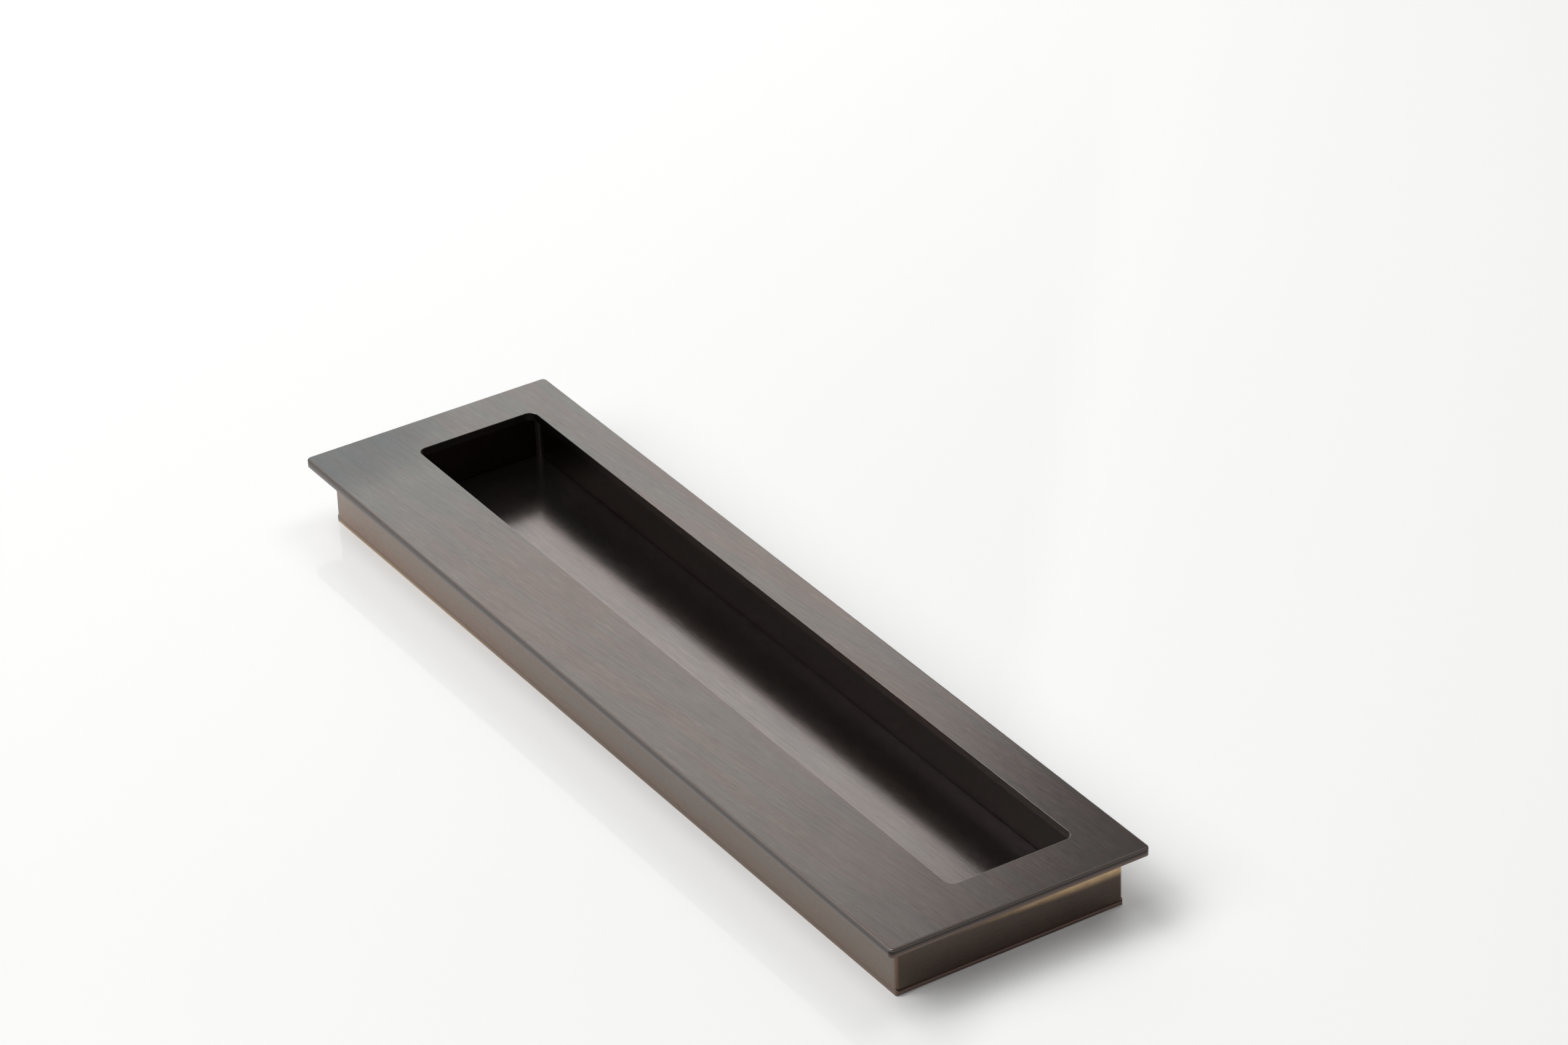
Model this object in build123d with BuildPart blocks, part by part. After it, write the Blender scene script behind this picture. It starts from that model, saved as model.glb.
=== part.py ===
"""Recessed flush pull: a soldered brass tray with an offset opening in its face plate.

Frame: origin under the middle of the face plate, on the underside of the base plate.
+X runs along the pull, +Y points to the narrow flange, +Z points out of the face plate.
All sizes are in millimetres.
"""

import os

from build123d import *

# Face plate
plate_length = 305.0
plate_width = 80.7
plate_thickness = 2.5
plate_corner_radius = 1.4
plate_edge_radius = 0.6

# Flanges, from the plate's edges to the opening
end_flange = 15.4
lip_flange = 28.5
narrow_flange = 13.2
opening_corner_radius = 2.7
opening_edge_radius = 0.15

# Overhangs, from the plate's edges to the outside of the walls
end_overhang = 6.4
lip_side_overhang = 5.5
narrow_side_overhang = 4.3

# Flat bar of the four walls
bar_thickness = 5.0
bar_height = 15.5
bar_corner_radius = 1.0
bar_foot_radius = 0.3

# Base plate, flush with the long sides and a little proud of the end walls
base_thickness = 2.0
base_proud = 0.5
base_corner_radius = 1.0
base_end_radius = 0.9

# Level of the flange's seat
plate_underside = base_thickness + bar_height

# Opening, set off towards the narrow flange
opening_length = plate_length - 2 * end_flange
opening_width = plate_width - lip_flange - narrow_flange
opening_center_y = (lip_flange - narrow_flange) / 2

# Tray formed by the walls, seen from above
body_length = plate_length - 2 * end_overhang
body_width = plate_width - lip_side_overhang - narrow_side_overhang
body_center_y = (lip_side_overhang - narrow_side_overhang) / 2
lip_wall_y = body_center_y - (body_width - bar_thickness) / 2
narrow_wall_y = body_center_y + (body_width - bar_thickness) / 2
end_wall_x = (body_length - bar_thickness) / 2
end_wall_width = body_width - 2 * bar_thickness
base_length = body_length + 2 * base_proud

# Face plate with its offset opening and softened upper edges
with BuildPart() as face_plate:
    with BuildSketch(Plane.XY.offset(plate_underside)):
        RectangleRounded(plate_length, plate_width, plate_corner_radius)
        with Locations((0, opening_center_y)):
            RectangleRounded(
                opening_length, opening_width, opening_corner_radius, mode=Mode.SUBTRACT
            )
    extrude(amount=plate_thickness)
    top_face = face_plate.faces().sort_by(Axis.Z)[-1]
    outer_rim = top_face.outer_wire().edges()
    opening_rim = top_face.inner_wires()[0].edges()
    fillet(outer_rim, plate_edge_radius)
    fillet(opening_rim, opening_edge_radius)
face_plate.part.label = "face_plate"


def side_wall(center_y, outward):
    """Long flat bar over the whole body, with rounded outer corners and a seam line at its inner foot."""
    with BuildPart() as wall:
        with BuildSketch(Plane.XY.offset(base_thickness)):
            with Locations((0, center_y)):
                Rectangle(body_length, bar_thickness)
        extrude(amount=bar_height)
        corners = wall.edges().filter_by(Axis.Z).group_by(outward)[-1]
        fillet(corners, bar_corner_radius)
        feet = wall.edges().filter_by(Axis.X).group_by(Axis.Z)[0]
        fillet(feet.sort_by(outward)[0], bar_foot_radius)
    return wall.part


def end_wall(center_x, outward):
    """Short flat bar held between the two long ones, with a seam line at its inner foot."""
    with BuildPart() as wall:
        with BuildSketch(Plane.XY.offset(base_thickness)):
            with Locations((center_x, body_center_y)):
                Rectangle(bar_thickness, end_wall_width)
        extrude(amount=bar_height)
        feet = wall.edges().filter_by(Axis.Y).group_by(Axis.Z)[0]
        fillet(feet.sort_by(outward)[0], bar_foot_radius)
    return wall.part


lip_side_wall = side_wall(lip_wall_y, -Axis.Y)
lip_side_wall.label = "lip_side_wall"
narrow_side_wall = side_wall(narrow_wall_y, Axis.Y)
narrow_side_wall.label = "narrow_side_wall"
far_end_wall = end_wall(-end_wall_x, -Axis.X)
far_end_wall.label = "far_end_wall"
near_end_wall = end_wall(end_wall_x, Axis.X)
near_end_wall.label = "near_end_wall"

# Base plate, floor of the recess: its plan and its side view with rounded ends meet in one solid
with BuildPart() as base_plate:
    with BuildSketch(Plane.XY):
        with Locations((0, body_center_y)):
            RectangleRounded(base_length, body_width, base_corner_radius)
    extrude(amount=base_thickness)
    with BuildSketch(Plane.XZ):
        with Locations((0, base_thickness / 2)):
            RectangleRounded(base_length, base_thickness, base_end_radius)
    extrude(amount=plate_width, both=True, mode=Mode.INTERSECT)
base_plate.part.label = "base_plate"

os.makedirs("parts", exist_ok=True)
export_step(face_plate.part, "parts/face_plate.step")
export_step(lip_side_wall, "parts/lip_side_wall.step")
export_step(narrow_side_wall, "parts/narrow_side_wall.step")
export_step(far_end_wall, "parts/far_end_wall.step")
export_step(near_end_wall, "parts/near_end_wall.step")
export_step(base_plate.part, "parts/base_plate.step")
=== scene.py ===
"""Looks of the recessed flush pull: dark bronze patina over brass, on a plain white table.

Frame: metres, origin under the middle of the face plate, +X along the pull, +Y to the narrow flange,
+Z out of the face plate. The near end is at +X, the far end at -X and the lip side at -Y.
"""

import math

import bmesh
import bpy
from mathutils import Matrix, Vector

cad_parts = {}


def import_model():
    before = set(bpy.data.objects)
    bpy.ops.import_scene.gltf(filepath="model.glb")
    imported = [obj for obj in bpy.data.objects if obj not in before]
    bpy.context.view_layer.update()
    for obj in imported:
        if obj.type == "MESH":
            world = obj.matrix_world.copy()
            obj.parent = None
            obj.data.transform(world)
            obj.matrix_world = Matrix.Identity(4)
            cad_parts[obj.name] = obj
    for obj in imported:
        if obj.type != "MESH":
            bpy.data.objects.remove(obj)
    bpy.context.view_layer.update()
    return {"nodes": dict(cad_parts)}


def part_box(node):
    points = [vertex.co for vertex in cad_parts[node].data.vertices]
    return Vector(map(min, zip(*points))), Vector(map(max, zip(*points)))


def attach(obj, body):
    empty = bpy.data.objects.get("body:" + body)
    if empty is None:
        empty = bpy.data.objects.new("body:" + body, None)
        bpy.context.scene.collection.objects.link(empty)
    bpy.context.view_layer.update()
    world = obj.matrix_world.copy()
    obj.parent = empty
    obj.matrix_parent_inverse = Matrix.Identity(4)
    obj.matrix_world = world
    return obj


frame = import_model()

MM = 0.001
UP = Vector((0.0, 0.0, 1.0))
WHITE = (1.0, 1.0, 1.0, 1.0)

# Corners of the pieces, from the frame
plate_low, plate_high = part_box("face_plate")
lip_low, lip_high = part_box("lip_side_wall")
narrow_low, narrow_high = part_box("narrow_side_wall")
near_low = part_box("near_end_wall")[0]
base_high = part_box("base_plate")[1]

# Flat part of the face plate, body of the tray and recess in it
PLATE_EDGE_RADIUS = 0.6 * MM
PLATE_CENTER = (0.0, 0.0)
PLATE_FLAT_HALF = (plate_high.x - PLATE_EDGE_RADIUS, plate_high.y - PLATE_EDGE_RADIUS)
BODY_CENTER = (0.0, (narrow_high.y + lip_low.y) / 2)
BODY_HALF = (lip_high.x, (narrow_high.y - lip_low.y) / 2)
RECESS_HALF = (near_low.x, (narrow_low.y - lip_high.y) / 2)
RECESS_LEVELS = (base_high.z, plate_low.z)

# Camera, aimed at a point beside the pull
CAMERA_TARGET = Vector((-54.35, 61.19, 9.97)) * MM
CAMERA_AZIMUTH = math.radians(58.171)
CAMERA_ELEVATION = math.radians(30.772)
CAMERA_ROLL = math.radians(-2.107)
CAMERA_DISTANCE = 1.6369
CAMERA_LENS = 131.107
CAMERA_SENSOR = 36.0
CAMERA_FORWARD = Vector((
    -math.sin(CAMERA_AZIMUTH) * math.cos(CAMERA_ELEVATION),
    math.cos(CAMERA_AZIMUTH) * math.cos(CAMERA_ELEVATION),
    -math.sin(CAMERA_ELEVATION),
))
CAMERA_PLACE = CAMERA_TARGET - CAMERA_FORWARD * CAMERA_DISTANCE

# Soft panels: the key beyond the far end, one at each long side, and one overhead without shadows
KEY_PLACE = (-1.45, -1.00, 2.80)
KEY_SIZE = (2.6, 1.8)
KEY_POWER = 66.0
LIP_PANEL_PLACE = (-0.20, -1.95, 1.90)
LIP_PANEL_SIZE = (1.8, 1.8)
LIP_PANEL_POWER = 35.0
NARROW_PANEL_PLACE = (-0.30, 1.50, 2.50)
NARROW_PANEL_SIZE = (1.2, 1.2)
NARROW_PANEL_POWER = 13.0
EVEN_PANEL_PLACE = (0.0, 0.0, 3.0)
EVEN_PANEL_SIZE = (2.0, 2.0)
EVEN_PANEL_POWER = 27.0

# World: a low ring of light and almost none above it, fading by the sine of the elevation
HORIZON_FADE = (0.28, 0.37)
HORIZON_GLOW = 0.70
WORLD_LIGHT = 0.01

# Back panel, standing beyond the pull as the camera sees it
BACK_AZIMUTH = math.radians(58.2)
BACK_ACROSS = Vector((math.cos(BACK_AZIMUTH), math.sin(BACK_AZIMUTH), 0.0))
BACK_AWAY = Vector((-math.sin(BACK_AZIMUTH), math.cos(BACK_AZIMUTH), 0.0))
BACK_DISTANCE = 0.8
BACK_SPAN = (-0.8, 0.90)
BACK_HEIGHT = 1.1
BACK_GLOW = 1.07
BACK_LEAN = 0.15
BACK_LEAN_LEVEL = 0.5
BACK_LEFT_RISE = (-0.80, -0.50)
BACK_RIGHT_FADE = (0.112, 0.146)
BACK_SECOND_RISE = (0.148, 0.180)
BACK_SECOND_GLOW = 0.16
BACK_FOOT_RISE = (0.0, 0.08)
BACK_TOP_FADE = (0.60, 1.00)

# Table: white, with painted shade where it mirrors the back panel to the camera's side, which evens out
# that reflection.
# The least reach keeps that place finite on the part of the table under the camera.
TABLE_SIZE = 8.0
TABLE_WHITE = (0.852, 0.852, 0.847, 1.0)
TABLE_PAINTED_SHADE = (0.772, 0.772, 0.767, 1.0)
TABLE_ROUGHNESS = 0.05
TABLE_IOR = 1.31
TABLE_LEAST_REACH = 0.3

# Brush lines, length and width, clouds in the patina and the noise that draws them
FINE_LINES = (5.0 * MM, 0.20 * MM)
MEDIUM_LINES = (20.0 * MM, 0.9 * MM)
BROAD_LINES = (80.0 * MM, 7.0 * MM)
CLOUDS = (16.0 * MM, 9.0 * MM, 9.0 * MM)
NOISE_DETAIL = 3.0
LINE_NOISE = 0.6
CLOUD_NOISE = 0.55
TONE_RANGE = (0.25, 0.75)
PATCH_RANGE = (0.36, 0.64)
GRAIN_ROUGHNESS = 0.03
GRAIN_DEPTH = 0.05 * MM

# Wax over the patina, smoother than the metal and thinner on the outside of the tray
WAX_IOR = 1.5
WAX_SMOOTHER = 0.06
OUTSIDE_WAX = 0.75

# Bare brass and brass rubbed brown
BARE_BRASS = (0.560, 0.380, 0.195, 1.0)
RUBBED_BROWN = (0.210, 0.130, 0.075, 1.0)

# Face plate
PLATE_WARM = (0.164, 0.124, 0.108, 1.0)
PLATE_COOL = (0.150, 0.131, 0.115, 1.0)
PLATE_ROUGHNESS = 0.23
PLATE_STREAK = 0.19
PLATE_BRUSH_TURN = math.radians(5.0)
FAR_TINT = (0.95, 1.05, 1.07, 1.0)
FAR_TINT_SPAN = (-130.0 * MM, -50.0 * MM)
DULL_TINT = (0.50, 0.58, 0.63, 1.0)
DULL_CENTER = (-154.0 * MM, -36.0 * MM)
DULL_REACH = (34.0 * MM, 50.0 * MM)

# Rim of the face plate and its worn rounding
RIM_BROWN = (0.056, 0.032, 0.022, 1.0)
RIM_BLEND = 0.2 * MM
RIM_HEIGHT = (17.6 * MM, 19.2 * MM)
RIM_TONE = (1.4, 0.1)
RIM_WAX_LOSS = (0.0, 0.50)
ROUNDING_BROWN = (0.105, 0.083, 0.072, 1.0)
ROUNDING_HEIGHT = (19.2 * MM, 19.5 * MM)
ROUNDING_ROUGHNESS = 0.60
ROUNDING_WAX_ROUGHNESS = 0.50
ROUNDING_METAL_LOSS = 0.3
ROUNDING_OTHER_SIDES = 0.4
LIP_BLEND = 0.1 * MM

# Walls of the tray
SIDE_WARM = (0.128, 0.084, 0.056, 1.0)
SIDE_COOL = (0.122, 0.090, 0.066, 1.0)
SIDE_STREAK = 0.04
# Painted light: the long walls are up to this much lighter towards the far end
SIDE_FAR_PAINTED_LIGHT = 1.5
# Painted shade: the faces of the long walls inside the recess have this share of the outside's colour
SIDE_INNER_PAINTED_SHADE = 0.22
END_WARM = (0.066, 0.038, 0.023, 1.0)
END_COOL = (0.060, 0.037, 0.025, 1.0)
END_STREAK = 0.10
WALL_ROUGHNESS = 0.29
INNER_ROUGHNESS = 0.24
INNER_WAX_ROUGHNESS = 0.19
FOOT_TINT = (1.08, 0.88, 0.74, 1.0)
FOOT_HEIGHT = (1.5 * MM, 7.0 * MM)
# Span along the pull over which the painted light of the far end rises, on the walls and on the base
# plate's long edges
FAR_PAINTED_LIGHT_SPAN = (-130.0 * MM, 30.0 * MM)
OUTSIDE_BLEND = (-1.2 * MM, -0.4 * MM)
END_FACE_BLEND = (-0.8 * MM, -0.2 * MM)
CORNER_BLEND = (-1.1 * MM, -0.5 * MM)
CORNER_SHARE = 0.3
SEAM_HEIGHT = (2.4 * MM, 2.9 * MM)
SEAM_TONE = 0.2

# Streak of bare brass under the flange, on the outside of the end walls
STRIP_SPAN = (-20.0 * MM, 30.0 * MM)
STRIP_FOOT = (11.2 * MM, 9.0 * MM)
STRIP_FULL = 12.0 * MM
STRIP_SHADE = (11.7 * MM, 12.5 * MM)
STRIP_SHADE_TONE = 0.1
# Rise of the streak towards the narrow side, partly its own spread and partly painted light
STRIP_RISE_AND_PAINTED_LIGHT = (-24.0 * MM, 28.0 * MM)
BLOTS = (8.0 * MM, 6.0 * MM, 2.0 * MM)
BLOT_RANGE = (0.3, 0.6)
BLOT_TONE = 0.7

# Base plate: floor of the recess and outer edge
FLOOR_WARM = (0.245, 0.200, 0.184, 1.0)
FLOOR_COOL = (0.228, 0.200, 0.186, 1.0)
FLOOR_METALLIC = 0.98
FLOOR_ROUGHNESS = 0.18
FLOOR_STREAK = 0.16
BASE_SIDE_BROWN = (0.125, 0.074, 0.046, 1.0)
# Painted light: the base plate's long edges are up to this much lighter towards the far end
BASE_SIDE_FAR_PAINTED_LIGHT = 1.4
BASE_END_BROWN = (0.104, 0.060, 0.044, 1.0)
BASE_EDGE_ROUGHNESS = 0.40
GOLD_HEIGHT = (0.3 * MM, 1.1 * MM)
GOLD_SPAN = (-120.0 * MM, 0.0)
GOLD_SHARE = (0.7, 0.12)

# Solder in the upright corners of the recess
SOLDER_RADIUS = 1.2 * MM
SOLDER_STEPS = 10
SOLDER_SHARP_ANGLE = math.radians(30)
SOLDER_ROUGHNESS = 0.50
SOLDER_STREAK = 0.05
SOLDER_TONE = 0.5


class Graph:
    """Nodes of one material or of the world, with short calls for the kinds that they need."""

    def __init__(self, owner, shader="Principled BSDF", coordinates="Object"):
        owner.use_nodes = True
        self.owner = owner
        self.tree = owner.node_tree
        self.shader = self.tree.nodes[shader]
        self.place = self.add("ShaderNodeTexCoord").outputs[coordinates]
        split = self.add("ShaderNodeSeparateXYZ")
        self.join(self.place, split.inputs[0])
        self.x, self.y, self.z = split.outputs

    def add(self, kind, **settings):
        made = self.tree.nodes.new(kind)
        for key, value in settings.items():
            setattr(made, key, value)
        return made

    def join(self, value, socket):
        """Links a socket, or writes a plain value."""
        if isinstance(value, bpy.types.NodeSocket):
            self.tree.links.new(value, socket)
        else:
            socket.default_value = value

    def set(self, name, value):
        """Links or writes an input of the shader."""
        self.join(value, self.shader.inputs[name])

    def math(self, operation, first, second=0.0):
        made = self.add("ShaderNodeMath", operation=operation)
        self.join(first, made.inputs[0])
        self.join(second, made.inputs[1])
        return made.outputs[0]

    def plus(self, first, second):
        return self.math("ADD", first, second)

    def minus(self, first, second):
        return self.math("SUBTRACT", first, second)

    def over(self, first, second):
        return self.math("DIVIDE", first, second)

    def larger(self, first, second):
        return self.math("MAXIMUM", first, second)

    def product(self, *factors):
        result = factors[0]
        for factor in factors[1:]:
            result = self.math("MULTIPLY", result, factor)
        return result

    def ramp(self, value, low, high, start=0.0, end=1.0):
        """Smooth step of a value from start to end."""
        made = self.add("ShaderNodeMapRange", interpolation_type="SMOOTHSTEP")
        for socket, setting in zip(made.inputs, (value, low, high, start, end)):
            self.join(setting, socket)
        return made.outputs[0]

    def fade(self, value, low, high):
        """Smooth step of a value from one to nothing."""
        return self.ramp(value, low, high, 1.0, 0.0)

    def between(self, share, first, second):
        """Number that runs smoothly from the first to the second as the share rises to one."""
        return self.ramp(share, 0.0, 1.0, first, second)

    def noise(self, size, turn=0.0, roughness=CLOUD_NOISE):
        """Noise with grains of a size along X, Y and Z, turned about Z."""
        mapping = self.add("ShaderNodeMapping", vector_type="TEXTURE")
        self.join(self.place, mapping.inputs["Vector"])
        mapping.inputs["Rotation"].default_value = (0.0, 0.0, turn)
        mapping.inputs["Scale"].default_value = size
        made = self.add("ShaderNodeTexNoise")
        self.join(mapping.outputs[0], made.inputs["Vector"])
        made.inputs["Scale"].default_value = 1.0
        made.inputs["Detail"].default_value = NOISE_DETAIL
        made.inputs["Roughness"].default_value = roughness
        return made.outputs["Fac"]

    def mix(self, share, first, second):
        """Colour between two colours."""
        made = self.add("ShaderNodeMix", data_type="RGBA")
        share_in, first_in, second_in = made.inputs[0], made.inputs[6], made.inputs[7]
        self.join(share, share_in)
        self.join(first, first_in)
        self.join(second, second_in)
        return made.outputs[2]

    def scale(self, color, factor):
        """Colour made lighter or darker."""
        made = self.add("ShaderNodeVectorMath", operation="SCALE")
        self.join(color[:3] if isinstance(color, tuple) else color, made.inputs[0])
        self.join(factor, made.inputs["Scale"])
        return made.outputs[0]

    def tint(self, color, share, factors):
        """Colour with its channels multiplied, where the share is one."""
        made = self.add("ShaderNodeVectorMath", operation="MULTIPLY")
        self.join(color, made.inputs[0])
        self.join(self.mix(share, WHITE, factors), made.inputs[1])
        return made.outputs[0]

    def beyond(self, center, half):
        """How far a place lies outside a rectangle on the plan of the pull, along X and along Y."""
        off_x = self.math("ABSOLUTE", self.minus(self.x, center[0]))
        off_y = self.math("ABSOLUTE", self.minus(self.y, center[1]))
        return self.minus(off_x, half[0]), self.minus(off_y, half[1])

    def spot(self, center, reach):
        """One at a place on the plan of the pull, fading to nothing over its reach."""
        share_x = self.over(self.minus(self.x, center[0]), reach[0])
        share_y = self.over(self.minus(self.y, center[1]), reach[1])
        square = self.plus(self.product(share_x, share_x), self.product(share_y, share_y))
        return self.fade(square, 0.0, 1.0)


def material_graph(name):
    """Graph of a new material."""
    return Graph(bpy.data.materials.new(name))


def add_object(name, data):
    """New object in the scene."""
    made = bpy.data.objects.new(name, data)
    bpy.context.scene.collection.objects.link(made)
    return made


def stage_sheet(name, low, high, material):
    """Flat rectangle of the stage, from its low corner to its high one."""
    (left, front), (right, back) = low, high
    mesh = bpy.data.meshes.new(name)
    corners = [(left, front, 0), (right, front, 0), (right, back, 0), (left, back, 0)]
    mesh.from_pydata(corners, [], [(0, 1, 2, 3)])
    mesh.materials.append(material)
    sheet = add_object(name, mesh)
    return sheet


def camera():
    """Camera at the photo's viewing angle."""
    level_right = CAMERA_FORWARD.cross(UP).normalized()
    level_up = level_right.cross(CAMERA_FORWARD)
    right = level_right * math.cos(CAMERA_ROLL) + level_up * math.sin(CAMERA_ROLL)
    up = right.cross(CAMERA_FORWARD)
    data = bpy.data.cameras.new("camera")
    data.lens = CAMERA_LENS
    data.sensor_width = CAMERA_SENSOR
    seen_from = add_object("camera", data)
    turn = Matrix((right, up, -CAMERA_FORWARD)).transposed().to_4x4()
    seen_from.matrix_world = Matrix.Translation(CAMERA_PLACE) @ turn
    bpy.context.scene.camera = seen_from


def panel(name, place, size, power):
    """Soft rectangular light that faces the pull."""
    data = bpy.data.lights.new(name, "AREA")
    data.shape = "RECTANGLE"
    data.size, data.size_y = size
    data.energy = power
    light = add_object(name, data)
    light.location = place
    light.rotation_euler = (-Vector(place)).to_track_quat("-Z", "Y").to_euler()
    light.visible_camera = False
    return data


def panel_shape(g, x, y):
    """Brightness of the back panel at a place on it, from none to full."""
    leaning_x = g.plus(x, g.product(g.minus(y, BACK_LEAN_LEVEL), BACK_LEAN))
    first = g.fade(leaning_x, *BACK_RIGHT_FADE)
    second = g.ramp(leaning_x, *BACK_SECOND_RISE, 0.0, BACK_SECOND_GLOW)
    upright = g.product(g.ramp(y, *BACK_FOOT_RISE), g.fade(y, *BACK_TOP_FADE))
    return g.product(g.larger(first, second), upright, g.ramp(x, *BACK_LEFT_RISE))


def back_panel():
    """Standing panel of light behind the pull, with soft edges and dim on its right."""
    g = material_graph("back_panel_glow")
    glow = g.add("ShaderNodeEmission")
    g.join(g.product(panel_shape(g, g.x, g.y), BACK_GLOW), glow.inputs["Strength"])
    clear = g.add("ShaderNodeBsdfTransparent")
    both = g.add("ShaderNodeAddShader")
    g.join(glow.outputs[0], both.inputs[0])
    g.join(clear.outputs[0], both.inputs[1])
    g.join(both.outputs[0], g.tree.nodes["Material Output"].inputs["Surface"])
    left, right = BACK_SPAN
    card = stage_sheet("back_panel", (left, 0), (right, BACK_HEIGHT), g.owner)
    turn = Matrix((BACK_ACROSS, UP, -BACK_AWAY)).transposed().to_4x4()
    card.matrix_world = Matrix.Translation(BACK_AWAY * BACK_DISTANCE) @ turn
    card.visible_camera = False


def world():
    """Dark world with a low ring of light, for reflections alone."""
    studio = bpy.data.worlds.new("studio")
    g = Graph(studio, "Background", "Generated")
    g.set("Color", WHITE)
    g.set("Strength", g.ramp(g.z, *HORIZON_FADE, HORIZON_GLOW, WORLD_LIGHT))
    studio.cycles_visibility.diffuse = False
    bpy.context.scene.world = studio


def lights():
    """Four soft panels, the back panel and the world."""
    panel("key_panel", KEY_PLACE, KEY_SIZE, KEY_POWER)
    panel("lip_panel", LIP_PANEL_PLACE, LIP_PANEL_SIZE, LIP_PANEL_POWER)
    panel("narrow_panel", NARROW_PANEL_PLACE, NARROW_PANEL_SIZE, NARROW_PANEL_POWER)
    even = panel("even_panel", EVEN_PANEL_PLACE, EVEN_PANEL_SIZE, EVEN_PANEL_POWER)
    even.use_shadow = False
    back_panel()
    world()


def mirrored_place(g):
    """Place on the back panel that a place on the table mirrors to the photo's side."""
    across = g.plus(g.product(g.x, BACK_ACROSS.x), g.product(g.y, BACK_ACROSS.y))
    away = g.plus(g.product(g.x, BACK_AWAY.x), g.product(g.y, BACK_AWAY.y))
    from_across = CAMERA_PLACE.dot(BACK_ACROSS)
    from_away = CAMERA_PLACE.dot(BACK_AWAY)
    reach = g.larger(g.minus(away, from_away), TABLE_LEAST_REACH)
    slope = g.over(g.minus(across, from_across), reach)
    x = g.plus(g.product(slope, BACK_DISTANCE - from_away), from_across)
    y = g.product(g.over(g.minus(BACK_DISTANCE, away), reach), CAMERA_PLACE.z)
    return x, y


def table():
    """Plain glossy white table, with painted shade where it mirrors the back panel, to look even from the
    camera's side.
    """
    g = material_graph("table_white")
    glow = panel_shape(g, *mirrored_place(g))
    g.set("Base Color", g.mix(glow, TABLE_WHITE, TABLE_PAINTED_SHADE))
    g.set("Roughness", TABLE_ROUGHNESS)
    g.set("IOR", TABLE_IOR)
    half = TABLE_SIZE / 2
    stage_sheet("table", (-half, -half), (half, half), g.owner)


def brush_lines(g, along, turn, length, width):
    """Noise drawn out along one axis into lines of about that length and width."""
    size = [width] * 3
    size["XYZ".index(along)] = length
    return g.noise(size, turn, LINE_NOISE)


def patina(name, along, warm, cool, roughness, streak, turn=0.0):
    """Waxed patina with brush lines along one axis: the graph, its colour and its roughness."""
    g = material_graph(name)
    fine = brush_lines(g, along, turn, *FINE_LINES)
    medium = brush_lines(g, along, turn, *MEDIUM_LINES)
    broad = brush_lines(g, along, turn, *BROAD_LINES)
    tone = g.product(
        g.ramp(fine, *TONE_RANGE, 1.0 - streak, 1.0 + streak),
        g.ramp(medium, *TONE_RANGE, 1.0 - streak / 2, 1.0 + streak / 2),
        g.ramp(g.noise(CLOUDS), *TONE_RANGE, 1.0 - streak / 3, 1.0 + streak / 3),
    )
    color = g.scale(g.mix(g.ramp(broad, *PATCH_RANGE), warm, cool), tone)
    grain = g.ramp(fine, *TONE_RANGE, roughness - GRAIN_ROUGHNESS, roughness + GRAIN_ROUGHNESS)
    bump = g.add("ShaderNodeBump")
    bump.inputs["Strength"].default_value = streak
    bump.inputs["Distance"].default_value = GRAIN_DEPTH
    g.join(fine, bump.inputs["Height"])
    g.set("Normal", bump.outputs[0])
    g.set("Roughness", grain)
    g.set("Metallic", 1.0)
    g.set("Coat Weight", 1.0)
    g.set("Coat IOR", WAX_IOR)
    g.set("Coat Roughness", roughness - WAX_SMOOTHER)
    g.set("Coat Normal", bump.outputs[0])
    return g, color, grain


def plate_finish():
    """Face plate: brushed a little askew, dull at its far left corner, brown and worn round its rim."""
    g, color, grain = patina(
        "plate_patina", "X", PLATE_WARM, PLATE_COOL, PLATE_ROUGHNESS, PLATE_STREAK, PLATE_BRUSH_TURN
    )
    color = g.tint(color, g.fade(g.x, *FAR_TINT_SPAN), FAR_TINT)
    color = g.tint(color, g.spot(DULL_CENTER, DULL_REACH), DULL_TINT)
    rim = g.ramp(g.larger(*g.beyond(PLATE_CENTER, PLATE_FLAT_HALF)), 0.0, RIM_BLEND)
    # Brown of the rim, lighter low on the rim and darker towards its top
    color = g.mix(rim, color, g.scale(RIM_BROWN, g.ramp(g.z, *RIM_HEIGHT, *RIM_TONE)))
    rounding = g.product(rim, g.ramp(g.z, *ROUNDING_HEIGHT))
    color = g.mix(rounding, color, ROUNDING_BROWN)
    lip_edge = -PLATE_FLAT_HALF[1]
    lip_side = g.ramp(g.y, lip_edge, lip_edge + LIP_BLEND, 1.0, ROUNDING_OTHER_SIDES)
    wax_roughness = PLATE_ROUGHNESS - WAX_SMOOTHER
    wax_loss = g.product(rim, g.ramp(g.z, *RIM_HEIGHT, *RIM_WAX_LOSS))
    g.set("Base Color", color)
    g.set("Metallic", g.minus(1.0, g.product(rounding, lip_side, ROUNDING_METAL_LOSS)))
    g.set("Roughness", g.larger(grain, g.product(rounding, ROUNDING_ROUGHNESS)))
    g.set("Coat Weight", g.minus(1.0, wax_loss))
    g.set("Coat Roughness", g.larger(wax_roughness, g.product(rounding, ROUNDING_WAX_ROUGHNESS)))
    return g.owner


def brass_strip(g):
    """Streak under the flange, wider towards the narrow side and stronger there, which is partly the
    streak's own spread and partly painted light; shaded at its top.
    """
    foot = g.ramp(g.y, *STRIP_SPAN, *STRIP_FOOT)
    shade = g.ramp(g.z, *STRIP_SHADE, 1.0, STRIP_SHADE_TONE)
    blots = g.ramp(g.noise(BLOTS), *BLOT_RANGE, BLOT_TONE, 1.0)
    return g.product(g.ramp(g.z, foot, STRIP_FULL), shade, blots, g.ramp(g.y, *STRIP_RISE_AND_PAINTED_LIGHT))


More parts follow.
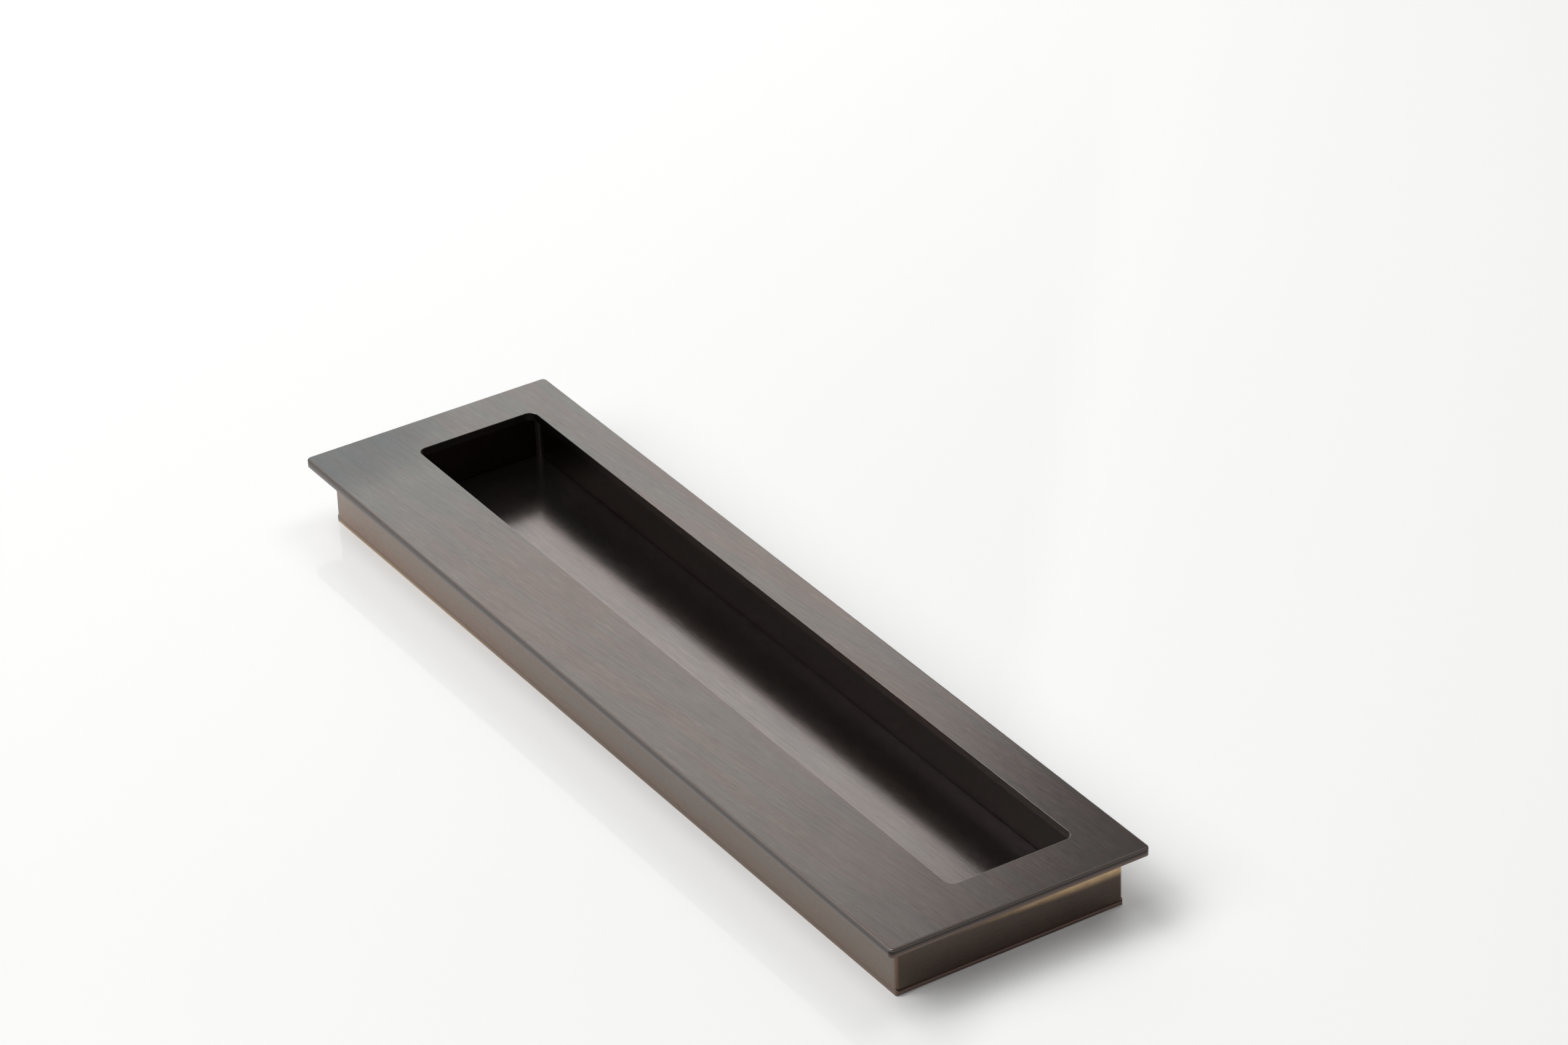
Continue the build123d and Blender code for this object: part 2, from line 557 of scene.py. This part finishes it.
def wall_finish(name, along, warm, cool, streak, foot_share, end_share, far_painted_light, inner_painted_shade):
    """Bar of the tray: rubbed at its corners, bare brass high on its end, a dark seam at its inner foot."""
    g, color, grain = patina(name, along, warm, cool, WALL_ROUGHNESS, streak)
    beyond_x, beyond_y = g.beyond(BODY_CENTER, BODY_HALF)
    outside = g.ramp(g.larger(beyond_x, beyond_y), *OUTSIDE_BLEND)
    end_face = g.ramp(beyond_x, *END_FACE_BLEND)
    corner = g.ramp(g.math("MINIMUM", beyond_x, beyond_y), *CORNER_BLEND)
    seam = g.product(g.fade(g.z, *SEAM_HEIGHT), g.minus(1.0, outside))
    seam_tone = g.between(seam, 1.0, SEAM_TONE)
    # Painted light: lighter towards the far end
    color = g.scale(color, g.ramp(g.x, *FAR_PAINTED_LIGHT_SPAN, far_painted_light, 1.0))
    color = g.tint(color, g.ramp(g.z, *FOOT_HEIGHT, foot_share, 0.0), FOOT_TINT)
    color = g.mix(g.product(end_face, end_share), color, END_WARM)
    # Painted shade inside the recess: the inner faces are darker than the outside
    color = g.scale(color, g.between(outside, inner_painted_shade, 1.0))
    color = g.mix(g.product(corner, CORNER_SHARE), color, RUBBED_BROWN)
    color = g.scale(color, seam_tone)
    color = g.mix(g.product(outside, end_face, brass_strip(g)), color, BARE_BRASS)
    g.set("Base Color", color)
    g.set("Roughness", g.between(outside, INNER_ROUGHNESS, grain))
    g.set("Coat Weight", g.product(g.between(outside, 1.0, OUTSIDE_WAX), seam_tone))
    g.set("Coat Roughness", g.between(outside, INNER_WAX_ROUGHNESS, WALL_ROUGHNESS - WAX_SMOOTHER))
    return g.owner


def base_finish():
    """Base plate: smooth patina on the floor of the recess, brown round its edge, golden at its foot."""
    g, color, grain = patina("base_patina", "X", FLOOR_WARM, FLOOR_COOL, FLOOR_ROUGHNESS, FLOOR_STREAK)
    beyond_x, beyond_y = g.beyond(BODY_CENTER, BODY_HALF)
    end = g.ramp(beyond_x, *OUTSIDE_BLEND)
    side = g.ramp(beyond_y, *OUTSIDE_BLEND)
    outside = g.larger(end, side)
    # Brown of the long edges, with painted light that makes it lighter towards the far end
    side_brown_and_painted_light = g.scale(BASE_SIDE_BROWN, g.ramp(g.x, *FAR_PAINTED_LIGHT_SPAN, BASE_SIDE_FAR_PAINTED_LIGHT, 1.0))
    gold = g.product(g.fade(g.z, *GOLD_HEIGHT), g.ramp(g.x, *GOLD_SPAN, *GOLD_SHARE))
    color = g.mix(side, color, side_brown_and_painted_light)
    color = g.mix(g.product(side, gold), color, BARE_BRASS)
    color = g.mix(end, color, BASE_END_BROWN)
    floor_wax = FLOOR_ROUGHNESS - WAX_SMOOTHER
    edge_wax = BASE_EDGE_ROUGHNESS - WAX_SMOOTHER
    g.set("Base Color", color)
    g.set("Metallic", FLOOR_METALLIC)
    g.set("Roughness", g.between(outside, grain, BASE_EDGE_ROUGHNESS))
    g.set("Coat Weight", g.between(outside, 1.0, OUTSIDE_WAX))
    g.set("Coat Roughness", g.between(outside, floor_wax, edge_wax))
    return g.owner


def solder_finish():
    """Solder: dull and dark."""
    g, color, _ = patina("solder_patina", "Z", END_WARM, END_COOL, SOLDER_ROUGHNESS, SOLDER_STREAK)
    g.set("Base Color", g.scale(color, SOLDER_TONE))
    return g.owner


def solder_outline(side_x, side_y):
    """Plan of a bead: the corner of the recess and a hollow quarter round in front of it."""
    corner_x = BODY_CENTER[0] + side_x * RECESS_HALF[0]
    corner_y = BODY_CENTER[1] + side_y * RECESS_HALF[1]
    outline = [(corner_x, corner_y)]
    for step in range(SOLDER_STEPS + 1):
        turn = math.radians(90) * step / SOLDER_STEPS
        outline.append((
            corner_x - side_x * SOLDER_RADIUS * (1 - math.cos(turn)),
            corner_y - side_y * SOLDER_RADIUS * (1 - math.sin(turn)),
        ))
    return outline


def solder(name, side_x, side_y, material):
    """Bead of solder in one upright corner of the recess."""
    outline = solder_outline(side_x, side_y)
    count = len(outline)
    corners = [(x, y, level) for level in RECESS_LEVELS for x, y in outline]
    faces = [tuple(range(count)), tuple(range(count, 2 * count))]
    for start in range(count):
        after = (start + 1) % count
        faces.append((start, after, count + after, count + start))
    mesh = bpy.data.meshes.new(name)
    mesh.from_pydata(corners, [], faces)
    mesh.materials.append(material)
    outward = bmesh.new()
    outward.from_mesh(mesh)
    bmesh.ops.recalc_face_normals(outward, faces=outward.faces)
    outward.to_mesh(mesh)
    outward.free()
    mesh.shade_smooth()
    mesh.set_sharp_from_angle(angle=SOLDER_SHARP_ANGLE)
    bead = add_object(name, mesh)
    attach(bead, "root")


def dress():
    """Gives each piece its finish and adds the solder."""
    side_wall = wall_finish(
        "side_wall_patina", "X", SIDE_WARM, SIDE_COOL, SIDE_STREAK,
        foot_share=1.0, end_share=1.0, far_painted_light=SIDE_FAR_PAINTED_LIGHT, inner_painted_shade=SIDE_INNER_PAINTED_SHADE,
    )
    end_wall = wall_finish(
        "end_wall_patina", "Y", END_WARM, END_COOL, END_STREAK,
        foot_share=0.0, end_share=0.0, far_painted_light=1.0, inner_painted_shade=1.0,
    )
    finishes = {
        "face_plate": plate_finish(),
        "lip_side_wall": side_wall,
        "narrow_side_wall": side_wall,
        "far_end_wall": end_wall,
        "near_end_wall": end_wall,
        "base_plate": base_finish(),
    }
    for name, node in frame["nodes"].items():
        node.data.materials.clear()
        node.data.materials.append(finishes[name])
    dull = solder_finish()
    for side_x, end in ((-1, "far"), (1, "near")):
        for side_y, side in ((-1, "lip"), (1, "narrow")):
            solder(f"{end}_{side}_solder", side_x, side_y, dull)


bpy.context.scene.view_settings.view_transform = "Standard"
camera()
table()
lights()
dress()
